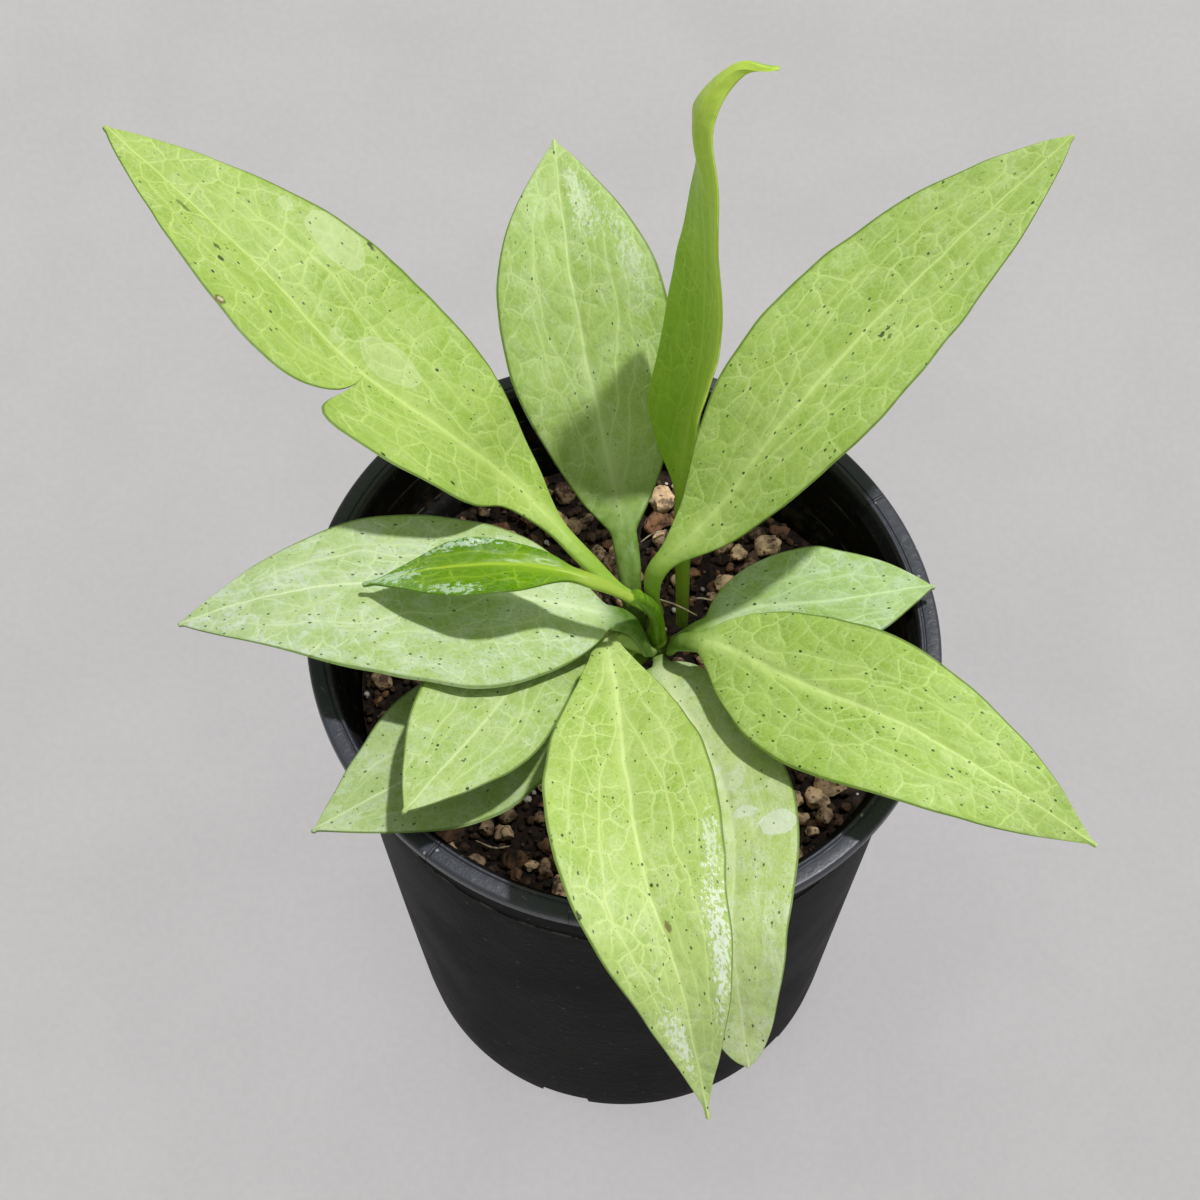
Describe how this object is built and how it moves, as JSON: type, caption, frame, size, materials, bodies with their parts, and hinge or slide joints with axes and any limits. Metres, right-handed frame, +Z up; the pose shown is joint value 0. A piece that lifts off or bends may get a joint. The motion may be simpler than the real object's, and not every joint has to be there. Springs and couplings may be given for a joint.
{
  "type": "potted hoya plant",
  "caption": "Young wax plant with broad pointed fleshy leaves on short stalks, growing from a short green stem in a black moulded nursery pot filled with bark and pumice mix.",
  "frame": {"origin": "centre of the pot's flat underside", "axes": "+Z up, -Y is the plant's front, where the largest leaf droops over the rim, +X to the right as seen from the front"},
  "size_m": [0.1581, 0.1611, 0.1979],
  "materials": {
    "pot": "satin black moulded polypropylene with dust, fine scratches and a bluish sheen on the rim",
    "soil": "damp dark bark and peat mix with rough tan pumice pellets, brown bark chips and small white bits",
    "stem": "smooth fresh green shoot with paler swollen nodes",
    "leaf": "fleshy pale yellow-green blade with silvery mottling, pale raised veins and fine dark specks, satin",
    "young_leaf": "saturated fresh green, glossy, with sunken veins"
  },
  "bodies": {
    "root": {"pot": "pot", "soil": "soil", "stem": "stem", "leaf_upper_left": "leaf", "leaf_back": "leaf", "leaf_back_curled": "leaf", "leaf_upper_right": "leaf", "leaf_right_low": "leaf", "leaf_right": "leaf", "leaf_front": "leaf", "leaf_front_low": "leaf", "leaf_left_low": "leaf", "leaf_left_lowest": "leaf", "leaf_left": "leaf", "leaf_young": "young_leaf"}
  },
  "joints": []
}
